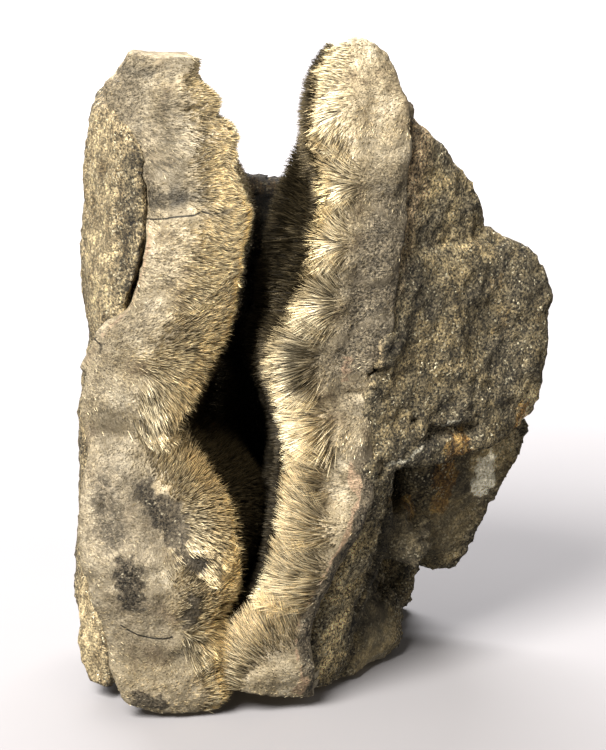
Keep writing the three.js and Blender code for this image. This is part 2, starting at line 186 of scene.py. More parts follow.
# %% Rock material
def rock_material():
    material, tree, place = start_material("sulphide_rock_broken")
    broad = add(tree, NOISE, {"Vector": place, "Scale": PER_MM / 5, "Detail": 5, "Roughness": 0.62})
    colour = add(
        tree,
        RAMP,
        {"Fac": broad},
        [(0.32, "4a4233"), (0.43, "6b614c"), (0.52, "7e7155"), (0.62, "95835e"), (0.72, "847a64")],
    )
    # Left of the crack the plate is paler, and golden grains run down it in streaks.
    long_way = add(tree, VECTOR_MATH, {0: place, 1: (1, 1, 0.3)}, **TIMES)
    streaks = add(tree, NOISE, {"Vector": long_way, "Scale": PER_MM / 1.1, "Detail": 6, "Roughness": 0.7})
    mottle = add(
        tree,
        RAMP,
        {"Fac": streaks},
        [(0.36, "5d4f37"), (0.46, "88785a"), (0.56, "9c8c6c"), (0.68, "cdb888")],
    )
    apart = add(tree, "ShaderNodeSeparateXYZ", {"Vector": place})
    plate = add(tree, RANGE, {0: apart.outputs["X"], 1: -15.5 * MM, 2: -17.5 * MM}, **STEP)
    ahead = add(tree, RANGE, {0: apart.outputs["Y"], 1: -5 * MM, 2: -11 * MM}, **STEP)
    plate = add(tree, MATH, {0: plate, 1: ahead}, **TIMES)
    colour = add(tree, MIX, {0: plate, 6: colour, 7: mottle}, **RGBA)
    # Tan beside the crusts, rust, and pale quartz, each in patches whose edges the streaks fray.
    tan = add(tree, RAMP, {"Fac": streaks}, [(0.36, "7a6649"), (0.5, "a68f6e"), (0.64, "c2aa84")])
    rust = add(tree, RAMP, {"Fac": streaks}, [(0.35, "5c4424"), (0.52, "98713a"), (0.66, "c0a060")])
    for name, low, high, most, tint in (
        ("rim", 0.9, 1.4, 1.0, tan),
        ("rust", 0.75, 1.15, 0.85, rust),
        ("pale", 0.9, 1.2, 0.85, linear("c2bba6")),
    ):
        stain = add(tree, MATH, {0: stored_value(tree, name), 1: streaks}, operation="ADD")
        stain = add(tree, RANGE, {0: stain, 1: low, 2: high, 4: most}, **STEP)
        colour = add(tree, MIX, {0: stain, 6: colour, 7: tint}, **RGBA)
    calm = stored_value(tree, "calm")
    strength = add(tree, RANGE, {0: calm, 3: 1.0, 4: 0.5})
    shade, facet, normal, _ = grain_pattern(tree, place, strength)
    # Where the rock is calm its grain is too fine to see apart.
    fine = add(tree, RANGE, {0: calm, 4: 0.65})
    shade = add(tree, MIX, {0: fine, 2: shade, 3: 0.85})
    # The tone carries the rock's own tones, and painted light and shade.
    tone = stored_value(tree, "tone")
    shade = add(tree, MATH, {0: shade, 1: tone}, **TIMES)
    colour = add(tree, VECTOR_MATH, {0: colour, 3: shade}, **SCALED)
    glint = add(tree, MATH, {0: tone, 1: calm}, operation="SUBTRACT", use_clamp=True)
    facet = add(tree, MATH, {0: facet, 1: glint}, **TIMES)
    colour = add(tree, MIX, {0: facet, 6: colour, 7: linear("e0d4b4")}, **RGBA)
    rough = add(tree, RANGE, {0: facet, 3: 0.75, 4: 0.3})
    shader = add(
        tree, PRINCIPLED, {"Base Color": colour, "Metallic": facet, "Roughness": rough, "Normal": normal}
    )
    add(tree, OUTPUT, {"Surface": shader})
    return material


# %% [markdown]
# ### Millerite, broken across its sprays
# Where a crust was snapped, its fibres lie in the surface and fan out from the point where each
# spray began. The eye sees tan metal with fine lines like brush strokes. The lines read the crust's
# own fan coordinates: the direction from the spray's centre, and the distance along it. Dark
# sulphide shows where the skin has flaked off.

# %% Crust material
def crust_material():
    material, tree, place = start_material("millerite_fibrous_broken")
    fan = add(tree, "ShaderNodeAttribute", attribute_name="fan").outputs["Vector"]
    lines = add(
        tree,
        NOISE,
        {"Vector": fan, "W": stored_value(tree, "along"), "Scale": 1.0, "Detail": 3, "Roughness": 0.75},
        noise_dimensions="4D",
    )
    broad = add(tree, NOISE, {"Vector": place, "Scale": PER_MM / 4, "Detail": 6, "Roughness": 0.62})
    colour = add(
        tree, RAMP, {"Fac": broad}, [(0.34, "84735a"), (0.44, "a59577"), (0.54, "beae90"), (0.66, "dccdb0")]
    )
    # Away from the cleft the metal is greyer and breaks in grains like the rock.
    grainy = stored_value(tree, "grainy")
    calm = stored_value(tree, "calm")
    strength = add(tree, MATH, {0: grainy, 1: calm}, operation="SUBTRACT", use_clamp=True)
    strength = add(tree, RANGE, {0: strength, 3: 0.4, 4: 1.0})
    shade, facet, grainy_normal, dust = grain_pattern(tree, place, strength)
    colour = add(tree, MIX, {0: grainy, 6: colour, 7: linear("a0927a")}, **RGBA)
    # A rim of pinkish tan where the crust meets the rock.
    rim = add(tree, MATH, {0: stored_value(tree, "rim"), 1: broad}, operation="ADD")
    rim = add(tree, RANGE, {0: rim, 1: 1.05, 2: 1.3, 4: 0.8}, **STEP)
    colour = add(tree, MIX, {0: rim, 6: colour, 7: linear("bfa083")}, **RGBA)
    # Bare dark sulphide, with ragged edges.
    ragged = add(tree, MATH, {0: broad, 1: dust}, operation="ADD")
    tarnish = add(tree, MATH, {0: stored_value(tree, "tarnish"), 1: ragged}, operation="ADD")
    tarnish = add(tree, RANGE, {0: tarnish, 1: 1.25, 2: 1.45, 4: 0.92}, **STEP)
    colour = add(tree, MIX, {0: tarnish, 6: colour, 7: linear("6c614f")}, **RGBA)
    drawn = add(tree, RANGE, {0: lines, 1: 0.34, 2: 0.66, 3: 0.45, 4: 1.5}, **STEP)
    shade = add(tree, MIX, {0: grainy, 2: drawn, 3: shade})
    pits = add(tree, RANGE, {0: dust, 1: 0.28, 2: 0.48, 3: 0.5, 4: 1.08}, **STEP)
    shade = add(tree, MATH, {0: shade, 1: pits}, **TIMES)
    shade = add(tree, MIX, {0: calm, 2: shade, 3: 0.85})
    # Painted shade: the metal between free needles is darkened, as little light reaches it.
    shade_under_needles = add(tree, RANGE, {0: stored_value(tree, "painted_shade"), 3: 1.0, 4: 0.15})
    # A crack is a thin dark line where its signed distance passes through zero.
    gap = add(tree, MATH, {0: stored_value(tree, "crack")}, operation="ABSOLUTE")
    shut = add(tree, RANGE, {0: gap, 1: 0.05 * MM, 2: 0.15 * MM, 3: 0.08}, **STEP)
    # The tone brings the front's own tones, and painted light and shade.
    for factor in (stored_value(tree, "tone"), shade_under_needles, shut):
        shade = add(tree, MATH, {0: shade, 1: factor}, **TIMES)
    colour = add(tree, VECTOR_MATH, {0: colour, 3: shade}, **SCALED)
    # Painted glints: a grain in twenty is painted as a pale speck, more where the surface is lighter.
    glint = add(tree, RANGE, {0: shade, 1: 0.3, 2: 1.2, 4: 0.7})
    facet = add(tree, MATH, {0: facet, 1: glint}, **TIMES)
    facet = add(tree, MATH, {0: facet, 1: grainy}, **TIMES)
    colour = add(tree, MIX, {0: facet, 6: colour, 7: linear("e8dcbc")}, **RGBA)
    depth = add(tree, RANGE, {0: calm, 3: 1.0, 4: 0.2})
    line_depth = {"Strength": depth, "Distance": 0.25 * MM, "Height": lines}
    normal = add(tree, BUMP, {**line_depth, "Normal": grainy_normal})
    shader = add(
        tree, PRINCIPLED, {"Base Color": colour, "Metallic": 0.3, "Roughness": 0.5, "Normal": normal}
    )
    add(tree, OUTPUT, {"Surface": shader})
    return material


# %% [markdown]
# ### Millerite needles, free grown
# A needle is nickel-sulphide metal, pale brass with a thin tarnish, and as thin as a hair, so the
# eye sees glints and dark gaps and not faces. Each needle carries how far up it a point is and a
# shade of its own. The foot is painted darker: partly tarnish, partly painted shade where little
# light gets in. A golden tint between deep needles is painted bounce light.

# %% Needle material
def needle_material():
    material, tree, _ = start_material("millerite_needles_grown")
    up = stored_value(tree, "tip")
    colour = add(tree, RAMP, {"Fac": up}, [(0.0, "86775a"), (0.35, "ac9b78"), (0.7, "efddb6")])
    # The tone from the crust brings its own tones, and painted light and shade.
    tone = stored_value(tree, "tone")
    shade = add(tree, RANGE, {0: stored_value(tree, "shade"), 3: 0.1, 4: 1.85})
    shade = add(tree, MATH, {0: shade, 1: tone}, **TIMES)
    # Painted shade at the foot, darkest where shade is painted between the needles.
    painted_shade = stored_value(tree, "painted_shade")
    foot = add(tree, RANGE, {0: painted_shade, 3: 0.7, 4: 0.05})
    foot = add(tree, RANGE, {0: up, 2: 0.4, 3: foot})
    shade = add(tree, MATH, {0: shade, 1: foot}, **TIMES)
    colour = add(tree, VECTOR_MATH, {0: colour, 3: shade}, **SCALED)
    # Painted bounce light: between deep needles the colour is tinted golden, as light bouncing from
    # brass to brass would make it.
    deep = add(tree, RANGE, {0: painted_shade, 1: 0.4, 2: 1.0})
    painted_bounce = add(tree, MIX, {0: deep, 6: linear("ffffff"), 7: linear("fff3d8")}, **RGBA)
    colour = add(tree, VECTOR_MATH, {0: colour, 1: painted_bounce}, **TIMES)
    # Where tarnish and painted shade darken the needles deep in the cleft, they are more metallic,
    # so they gleam only in their own dark colour.
    metal = add(tree, RANGE, {0: tone, 1: 0.1, 2: 0.8, 3: 0.75, 4: 0.35})
    shader = add(tree, PRINCIPLED, {"Base Color": colour, "Metallic": metal, "Roughness": 0.45})
    add(tree, OUTPUT, {"Surface": shader})
    return material


ROCK = rock_material()
CRUST = crust_material()
NEEDLES = needle_material()
print("materials:", [m.name for m in (ROCK, CRUST, NEEDLES)])

# %% [markdown]
# ## From solid to surface
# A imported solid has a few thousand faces. To carry relief it needs an even, fine skin, and a voxel
# remesh gives one: it re-tiles the shape with squares of one size. The solid itself is left alone,
# so the remesh works on a copy whose loose triangles are merged first.

# %% Plain mesh from modifiers
def bake(piece):
    """Turns a piece and its modifiers into one plain mesh."""
    graph = bpy.context.evaluated_depsgraph_get()
    mesh = bpy.data.meshes.new_from_object(piece.evaluated_get(graph))
    old = piece.data
    piece.modifiers.clear()
    piece.data = mesh
    mesh.name = piece.name
    bpy.data.meshes.remove(old)
    return piece


def fine_copy(node_name, piece_name, voxel_mm):
    """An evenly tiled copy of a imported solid, about voxel_mm fine."""
    piece = bpy.data.objects.new(piece_name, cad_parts[node_name].data.copy())
    bpy.context.scene.collection.objects.link(piece)
    weld = piece.modifiers.new("weld", "WELD")
    weld.merge_threshold = 0.001 * MM
    remesh = piece.modifiers.new("remesh", "REMESH")
    remesh.mode = "VOXEL"
    remesh.voxel_size = voxel_mm * MM
    return bake(piece)


# %% [markdown]
# NumPy moves and measures all the points of a mesh at once, in millimetres. What a point carries,
# such as its distance from the cleft, is stored on the mesh by name, and materials and Geometry
# Nodes read it there.

# %% Points as arrays
def vectors(mesh, name):
    """The co or normal of all points."""
    flat = np.empty(len(mesh.vertices) * 3, np.float32)
    mesh.vertices.foreach_get(name, flat)
    return flat.reshape(-1, 3).astype(float)


def put_points(mesh, points):
    mesh.vertices.foreach_set("co", (points * MM).astype(np.float32).ravel())
    mesh.update()


def store(mesh, name, values):
    """Stores one number, or one vector, for each point."""
    values = np.asarray(values, np.float32)
    kind, field = ("FLOAT_VECTOR", "vector") if values.ndim == 2 else ("FLOAT", "value")
    attribute = mesh.attributes.get(name) or mesh.attributes.new(name, kind, "POINT")
    attribute.data.foreach_set(field, values.ravel())


# %% [markdown]
# ## Relief
# Noise that moves each point along its normal turns a smooth skin into rock. Geometry Nodes do
# this fast, and the same tree serves rock and crusts with other inputs: lumps a few millimetres
# across, angular cells, and grain of about a millimetre.

# %% Relief tree
LAYERS = ("Lump", "Cell", "Grain")


def start_tree(name, numbers):
    """A Geometry Nodes tree with named number inputs, and the node that gives them."""
    tree = bpy.data.node_groups.new(name, "GeometryNodeTree")
    tree.interface.new_socket("Geometry", in_out="INPUT", socket_type="NodeSocketGeometry")
    for number in numbers:
        tree.interface.new_socket(number, in_out="INPUT", socket_type="NodeSocketFloat")
    tree.interface.new_socket("Geometry", in_out="OUTPUT", socket_type="NodeSocketGeometry")
    return tree, add(tree, "NodeGroupInput").outputs


def relief_tree():
    names = [layer + part for layer in LAYERS for part in (" Size", " Height")]
    tree, given = start_tree("broken_relief", names)
    place = add(tree, "GeometryNodeInputPosition")
    normal = add(tree, "GeometryNodeInputNormal")
    total = 0.0
    for layer in LAYERS:
        scale = add(tree, MATH, {0: 1.0, 1: given[layer + " Size"]}, operation="DIVIDE")
        at = add(tree, VECTOR_MATH, {0: place, 3: scale}, **SCALED)
        kind = "ShaderNodeTexVoronoi" if layer == "Cell" else NOISE
        pattern = add(tree, kind, {"Vector": at, "Scale": 1.0, "Detail": 3})
        middle = add(tree, MATH, {0: pattern, 1: 0.5}, operation="SUBTRACT")
        height = given[layer + " Height"]
        total = add(tree, MATH, {0: middle, 1: height, 2: total}, operation="MULTIPLY_ADD")
    rough = add(tree, NAMED, {"Name": "rough"}, **FLOAT)
    total = add(tree, MATH, {0: total, 1: rough}, **TIMES)
    offset = add(tree, VECTOR_MATH, {0: normal, 3: total}, **SCALED)
    moved = add(
        tree, "GeometryNodeSetPosition", {"Geometry": given["Geometry"], "Offset": offset.outputs["Vector"]}
    )
    add(tree, "NodeGroupOutput", {"Geometry": moved})
    return tree


RELIEF = relief_tree()
print("relief inputs:", [item.name for item in RELIEF.interface.items_tree])

# %% [markdown]
# A modifier runs a tree on a piece, and each number goes in by its socket's identifier. The relief
# would also sink the foot below the floor, so the lowest two millimetres of the skin are pressed
# together afterwards.

# %% Run a tree, and finish a skin
FOOT = 2.0  # the height under which a skin is pressed together to clear the floor, mm


def run_nodes(piece, tree, values):
    """Runs a Geometry Nodes tree on a piece with the named inputs, and keeps the plain mesh."""
    modifier = piece.modifiers.new(tree.name, "NODES")
    modifier.node_group = tree
    for item in tree.interface.items_tree:
        if item.in_out == "INPUT" and item.name in values:
            modifier[item.identifier] = values[item.name]
    return bake(piece)


def triangles(mesh):
    return sum(len(p.vertices) - 2 for p in mesh.polygons)


def finish_skin(piece, relief, material):
    """Gives a skin its relief, one (size, height) in mm for each layer, and its material."""
    values = {}
    for layer, (wide, high) in zip(LAYERS, relief):
        values.update({layer + " Size": wide * MM, layer + " Height": high * MM})
    run_nodes(piece, RELIEF, values)
    points = vectors(piece.data, "co") / MM
    z, low = points[:, 2], min(points[:, 2].min(), 0)
    points[:, 2] = np.where(z < FOOT, (z - low) * FOOT / (FOOT - low), z)
    put_points(piece.data, points)
    piece.data.materials.clear()
    piece.data.materials.append(material)
    piece.data.shade_smooth()
    print(piece.name, triangles(piece.data), "triangles")


# %% [markdown]
# ## Even skins for all three
# Rock and crusts touch along hidden sides. Each needs to know how near the others are, so all three
# skins are made before any is worked on.

# %% Three skins
ROCK_VOXEL = 0.47
CRUST_VOXEL = 0.36
FROM_FRONT = np.array([1, 0, 1])  # leaves y out, for distances as the photo shows them
rock = fine_copy("host_rock", "sulphide_rock", ROCK_VOXEL)
left_crust = fine_copy("left_millerite", "left_fibrous_crust", CRUST_VOXEL)
right_crust = fine_copy("right_millerite", "right_fibrous_crust", CRUST_VOXEL)
ROCK_POINTS, LEFT_POINTS, RIGHT_POINTS = (
    vectors(piece.data, "co") / MM for piece in (rock, left_crust, right_crust)
)
print("points:", len(ROCK_POINTS), len(LEFT_POINTS), len(RIGHT_POINTS))

# %% [markdown]
# One gap between crust and rock is real: a crack beside the plate on the far left. It has no sharp
# ends, so it is one number that fades in and out.

# %% The open crack
def smooth(x, low, high):
    """0 below low, 1 above high, and smooth between. Low may be the larger one."""
    t = np.clip((x - low) / (high - low), 0, 1)
    return t * t * (3 - 2 * t)


def crack_open(points):
    """1 in the real crack between the left crust and the plate beside it, 0 elsewhere."""
    x, y, z = points.T
    return smooth(z, 45, 49) * smooth(z, 65, 62) * smooth(y, -8, -11) * smooth(x, -15, -16)


# %% [markdown]
# ## The rock
# The rock keeps the solid's masses and gets the roughness of a fresh break: shallow lumps, angular
# cells a millimetre or two across and fine grain. A few grooves and pits are hollowed out first,
# where the photo shows deep shadow between the blocks. A row has the two ends of a mark, its radius,
# and its depth or strength. A groove with a negative depth is a swelling.

# %% Marks on the rock
ROCK_RELIEF = ((4.5, 1.2), (1.7, 0.4), (0.9, 0.6))
GROOVES = (
    ((9.6, -9.6, 23), (6.8, -8, 9), 2.4, 2.6),
    ((13.4, -8.5, 31), (18.6, -5, 30.3), 1.1, 1.0),
    ((12.6, -5, 25), (12.2, -1, 15), 1.7, 1.5),
    ((11.5, -10.2, 33), (11.5, -10.2, 33), 0.8, 0.9),
    ((7.6, -12.4, 28.6), (7.8, -12.2, 27.6), 0.9, 0.9),
    ((9.5, -1, 9), (10, 5, 9), 2.4, 2.0),
    ((17.5, -4, 57.5), (22, -3, 53.5), 2.8, -0.4),
    ((-27.5, -11, 20), (-27.5, -11, 10), 3.0, 0.5),
    ((6.3, -18, 40.4), (6.3, -11, 40), 0.9, 0.8),
    ((-4.5, 13, 57), (0, 13, 57), 4.5, -0.8),
)
RUST = (
    ((16.4, -6, 29), (15.4, 0.9, 23.2), 2.6, 0.9),
    ((15.4, 0.9, 23.2), (14.9, 1.8, 18.9), 1.8, 0.6),
    ((9, -9, 24.4), (11, -1, 20.5), 1.6, 0.7),
    ((24, 0.9, 31.5), (24.3, 2, 28), 2.2, 0.8),
    ((-9, 11.5, 55.4), (-2, 11.5, 55.4), 2.0, 0.5),
    ((20.7, -3.7, 47.4), (22, -3, 42), 2.5, 0.3),
)
PALE = (
    ((8.3, -11.9, 28.6), (10.3, -10.6, 28.4), 0.5, 0.8),
    ((10.8, -10.4, 29), (12.2, -9.5, 29.7), 0.5, 0.8),
    ((14.5, -7.8, 31.7), (16.5, -6.7, 32.2), 0.45, 0.8),
    ((20.1, 3.4, 23.6), (20.1, 3.6, 21), 2.8, 0.8),
    ((19.7, -4.6, 51.6), (20, -4.2, 48.5), 1.6, 0.35),
    ((22, 3, 26), (24.5, 1.5, 31), 2.4, 0.5),
)
CALM = (
    ((-25, -15, 68), (-24.5, -15, 48), 5.0, 0.45),
    ((-26, -12, 16), (-26, -12, 4), 4.0, 0.5),
    ((20, 3.4, 24), (14, 2, 14), 6.0, 0.7),
    ((10, -4, 20), (10, 0, 12), 5.0, 0.6),
    ((8, -1, 6), (6, -3, 1), 5.0, 1.0),
)
# Tones: some are the rock's own, others are painted light on faces turned from the key and painted shade in
# grooves, a pit and on the bridge's top.
ROCK_TONES_AND_PAINTED_LIGHT = (
    ((-9, 12, 56), (-2, 12, 56), 3.5, -0.85),
    ((4, -13, 22), (2, -11.5, 4), 3.5, 2.2),
    ((8.5, -1, 6), (6, -3, 1), 3.5, 0.4),
    ((9.5, -13.5, 60), (9.5, -13.5, 50), 2.5, 0.4),
    ((-20.1, -17.5, 65), (-20.3, -18, 50), 1.6, -0.5),
    ((9.6, -8, 23), (8, -6, 12), 3.0, -0.35),
    ((6.3, -18, 40.4), (6.3, -11, 40), 1.0, -0.8),
    ((-26, -12, 3), (-26, -12, 18), 4.0, 0.6),
    ((13, -9, 64), (16, -8, 54), 7.0, 0.85),
    ((20.1, 3.4, 23.6), (20.1, 3.6, 21), 2.8, 2.6),
    ((25, 0.5, 33), (22.5, 3, 26), 3.4, 3.2),
    ((-24, -14, 67), (-20, -16, 71), 4.0, 0.15),
)

# %% [markdown]
# A mark works like a soft brush: full strength in the middle, none beyond its radius. A wobble in
# the distance keeps its edge from being a neat curve. How near the crusts are is looked up in a k-d
# tree, which finds the nearest of thousands of points quickly.

# %% Distances and soft marks
def distance_to(points, others):
    """How far each point is from the nearest of the others."""
    tree = KDTree(len(others))
    for i, other in enumerate(others):
        tree.insert(other, i)
    tree.balance()
    return np.array([tree.find(p)[2] for p in points])


def segment_distance(points, start, end):
    """How far each point is from the straight line between two places."""
    start, end = np.array(start, float), np.array(end, float)
    line = end - start
    share = np.clip((points - start) @ line / max(line @ line, 1e-9), 0, 1)
    return np.linalg.norm(points - start - share[:, None] * line, axis=1)


def patches(points, rows):
    """Adds up soft, uneven patches. A row has its two ends, its radius and its strength."""
    across, up = points[:, 0], points[:, -1]
    wobble = np.sin(2.3 * across + 1.7 * np.sin(1.9 * up)) * np.sin(2.1 * up + 1.3 * np.sin(2.7 * across))
    total = np.zeros(len(points))
    for start, end, radius, strength in rows:
        distance = segment_distance(points, start, end) + 0.4 * min(radius, 1.5) * wobble
        total += strength * smooth(distance, radius, 0.3 * radius)
    return total


# %% [markdown]
# The marks become one number each at every point of the skin, and the material reads them there.
# Then the skin moves: into the grooves, towards the crusts, and last by the relief.

# %% Dress the rock
def dress_rock():
    mesh, points = rock.data, ROCK_POINTS
    normals = vectors(mesh, "normal")
    from_crust = distance_to(points, np.concatenate([LEFT_POINTS, RIGHT_POINTS]))
    wide = np.interp(points[:, 2], (30, 45, 60), (2.5, 6, 9))
    strong = np.interp(points[:, 2], (20, 32, 45, 60), (0.8, 0.35, 0.5, 1))
    off_plate = np.maximum(smooth(points[:, 0], -18, -15), 0.5 * smooth(points[:, 2], 62, 66))
    store(mesh, "rim", strong * smooth(from_crust, wide, 0.5) * off_plate)
    store(mesh, "rust", patches(points, RUST))
    store(mesh, "pale", patches(points, PALE))
    calm = np.clip(patches(points, CALM), 0, 1)
    store(mesh, "calm", calm)
    # The back isn't in the photo. It is guessed as a rougher, untrimmed break.
    store(mesh, "rough", (1 - 0.7 * calm) * (1 + 0.9 * smooth(points[:, 1], 2, 10)))
    x, y, z = points.T
    # Painted shade: inside the cleft the rock is darkened. The tones add the rock's own colour and painted
    # light and shade.
    cleft_shade = smooth(x, -17, -15) * smooth(x, 6, 4) * smooth(y, 5, 8) * (normals[:, 1] < 0.2) * (z < 55)
    store(mesh, "tone", np.clip(1 + patches(points, ROCK_TONES_AND_PAINTED_LIGHT), 0.1, 5) * (1 - 0.85 * cleft_shade))
    meet = 0.3 * smooth(from_crust, 1.3, 0.9) * (1 - crack_open(points))
    # The rock comes forward to the crusts, so that the break runs on without a step.
    fronts = np.concatenate([LEFT_POINTS[LEFT_POINTS[:, 1] < -15], RIGHT_POINTS[RIGHT_POINTS[:, 1] < -15]])
    from_front = distance_to(points * FROM_FRONT, fronts * FROM_FRONT)
    beside = np.maximum(x > -3, smooth(x, -14, -16) * smooth(z, 59, 67))
    forward = 0.7 * smooth(from_front, 7, 0) * smooth(y, -7, -11) * smooth(normals[:, 1], 0, -0.4) * beside
    moved = points + normals * (meet - patches(points, GROOVES))[:, None]
    put_points(mesh, moved - forward[:, None] * np.array([0, 1, 0]))
    finish_skin(rock, ROCK_RELIEF, ROCK)


dress_rock()

# %% [markdown]
# ## The sprays
# Each crust is made of sprays that began on the rock and grew towards the cleft. The centres along
# the broken front were read from the photo. Behind them the same growth goes on, so more rows of
# centres follow, each shifted a little. A point of the crust belongs to the nearest centre, and the
# fibre there points away from it.

# %% Spray centres
FRONT = -17  # the broken fronts, about this far forward, mm
ROW_STEP = 6.5
rng = np.random.default_rng(7)


def spray_centres(front_row, rows=4):
    centres = [(x, FRONT + 1.2, z) for x, z in front_row]
    for row in range(1, rows):
        for x, z in front_row:
            shift = rng.uniform(-2, 2, 3)
            centres.append((x + 0.5 * shift[0], FRONT + ROW_STEP * row + shift[1], z + 1.5 * shift[2]))
    return np.array(centres)


# %% [markdown]
# ## The crusts
# What is known of each crust is listed in millimetres. These profiles go by height:
# - stand: how far the crust reaches past its solid under the free needles; stand_inside is the same
#   further into the cleft
# - turn: how far the broken front turns back towards the rock; over: the share of the rock's edge
#   that it covers
# - the wall's darkness: tarnish and painted shade on the wall inside, from dark_from behind the
#   front's edge
# - the painted shade: how dark it is painted between the free needles
# - width, length, lean, rise: how wide their fringe is, how long they are, and how far they point
#   out of the front and upwards
# - velvet: their length on the wall inside
# - calm: how faint the lines of the fibres are
# - grainy: how much of the compact part breaks in grains
#
# Marks on the broken front go by (x, height). Tones lighten or darken, partly as the metal's own
# tone and partly as painted light and shade on steps, hollows and over-bright tufts. Pink tints,
# tarnish bares dark sulphide, coarse parts break in grains, pits are hollows, and a crack is a line
# of corners.
# Bulges swell the wall out at a place. Below the height called flank, the side away from the cleft
# is skinned with rock. The number of lines makes a line about 0.25 mm wide in the middle of a spray.

# %% Left crust in numbers
LEFT = {
    "side": 1,  # the cleft is on its right
    "flank": -9,
    "calm": ((0, 0.5), (28, 0.45), (36, 0.15), (48, 0)),
    "coarse": (
        ((-21, 73), (-18.8, 61), 3.2, 0.35), ((-24.8, 48.5), (-23.6, 44.3), 2.4, 0.8),
        ((-23.4, 28), (-22.4, 23), 2.0, 0.45),
    ),
    "lines": 26,
    "rise": ((0, 0), (78, 0)),
    "stand_inside": 1.2,
    "over": ((0, 0), (15, 0), (20, 0.25), (32, 0.25), (40, 1), (60, 1), (68, 0.5), (78, 0.5)),
    "bulges": (
        ((-26, -18, 17.5), 1.5, 4.5), ((-26, -18, 12), 1.7, 5),
        ((-25.5, -18, 6), 1.1, 5), ((-12.2, -17, 77), 1.1, 2.5),
    ),
    "sprays": (
        (-22.5, 69), (-23.2, 61), (-22.8, 53.2), (-20.7, 42.9), (-18.7, 23.1), (-17.7, 12.4), (-19, 3),
    ),
    "stand": (
        (0, 0.5), (20, 0.6), (30, 0.8), (40, 1), (50, 1.2), (59, 1.5), (63.2, 1), (64.2, 1.1),
        (65.3, 1.8), (66.5, 2.1), (67.6, 2.7), (68.4, 2.3), (68.9, 1.6), (69.4, 0.8), (69.9, 1.2),
        (70.6, 1.7), (71.3, 1.9), (72, 1.6), (72.7, 1.2), (73.4, 0.7), (74.3, 1.7), (75.7, 2.9), (78, 2.9),
    ),
    "turn": ((0, 0), (62, 0), (67, 2.2), (78, 2.2)),
    # Tarnish and painted shade on the wall inside.
    "dark": ((0, 0.93), (50, 0.9), (56, 0.75), (66, 0.1)),
    "painted_shade": ((0, 0.4), (12, 0.7), (30, 0.8), (44, 0.7), (56, 0.2), (66, 0)),
    "width": (
        (0, 0.8), (8, 2), (12, 3), (18, 5), (28, 5), (36, 4), (44, 5.5), (58, 3.8), (66, 3), (72, 2),
        (75, 1),
    ),
    "length": (
        (0, 1.2), (10, 1.8), (16, 1.2), (28, 1.3), (34, 1.9), (44, 1.4), (58, 1.2), (66, 1.2), (78, 0.8),
    ),
    "lean": ((0, 0.3), (10, 0.5), (16, 1.0), (26, 1.0), (32, 0.6), (42, 0.5), (58, 0.25), (66, 0.12)),
    "grainy": ((0, 0.15), (8, 0.2), (12, 0.5), (30, 0.5), (34, 0.25), (60, 0.25), (70, 0.1)),
    "velvet": ((0, 1.7), (40, 1.6), (55, 1.2), (62, 0.9), (71, 0.6), (74, 0)),
    "dark_from": 0.5,
    # Tones: some are the metal's own, others are painted light and shade on steps, hollows and tufts.
    "tones_and_painted_light": (
        ((-20.5, 74.6), (-12.8, 75), 2.0, -0.35), ((-18.5, 72), (-16.5, 62), 5.5, -0.36),
        ((-15.5, 70), (-14, 62), 3, -0.2), ((-20, 38), (-19, 12), 9, -0.12),
        ((-9.3, 53.5), (-9.8, 46), 1.8, -0.3), ((-19, 25), (-18, 23), 2.2, -0.15),
        ((-22, 35), (-20, 30), 3.5, -0.28), ((-12.5, 30), (-9.5, 22), 3.5, -0.2),
        ((-11.5, 68), (-10.5, 61), 2.2, 0.35), ((-16.5, 73.8), (-11.8, 72.2), 1.8, 0.12),
        ((-18.7, 60.3), (-13.2, 61.2), 1.3, -0.3), ((-17.5, 57.2), (-11.5, 57.4), 2.2, 0.22),
        ((-20.2, 47), (-15.5, 45.5), 2.8, -0.3), ((-23.4, 27.5), (-22.2, 23), 2.0, -0.12),
        ((-17.3, 28.2), (-16.8, 28.1), 0.9, 0.4), ((-13.9, 21.6), (-13, 21.2), 0.9, 0.4),
        ((-12.5, 20), (-11, 18), 1.8, -0.35), ((-16.8, 34.5), (-15.8, 33), 2.4, -0.45),
        ((-19, 17.5), (-16.6, 14), 2.4, 0.1), ((-21, 6), (-13, 5), 4, 0.3),
    ),
    "tarnish": (
        ((-18.5, 27.8), (-16.4, 25.1), 2.2, 0.9), ((-16.4, 25.1), (-13.6, 19.8), 2.0, 0.9),
        ((-20.8, 19.4), (-20.3, 15.2), 1.7, 0.9), ((-13.8, 15.4), (-14.7, 12.8), 1.2, 0.8),
        ((-20, 3.2), (-17.8, 2.2), 1.5, 0.9), ((-20.5, 67), (-19.8, 63.5), 1.3, 0.5),
        ((-17.3, 28.2), (-16.8, 28.1), 1.0, -1.3), ((-13.9, 21.6), (-13, 21.2), 1.0, -1.3),
    ),
    "pink": (
        ((-17.5, 70.5), (-14.6, 71), 1.4, 0.5), ((-22, 75), (-20.5, 72), 2, 0.4),
        ((-22, 9), (-14, 7), 3, 0.3),
    ),
    "cracks": (
        ((-18.4, 58.4), (-14.7, 59.1), (-13, 59.2), (-12.6, 59.6), (-11.7, 59.2), (-10.6, 59.5)),
        (
            (-21.9, 12.7), (-20.9, 11.9), (-20, 11.4), (-18.8, 11), (-17.7, 10.9), (-16.6, 10.9),
            (-15.8, 11.2),
        ),
        ((-25.6, 44.6), (-24.7, 43.9), (-23.9, 44.4), (-22.9, 44.0), (-21.8, 44.5)),
    ),
    "pits": (((-14.5, 70.6), (-14.1, 70.6), 0.6, 0.5), ((-23, 27), (-23, 25.5), 0.7, 0.5)),
}

# %% [markdown]
# The right crust has the same rows. It is thinner, its fringe is longer, and its middle is grey.

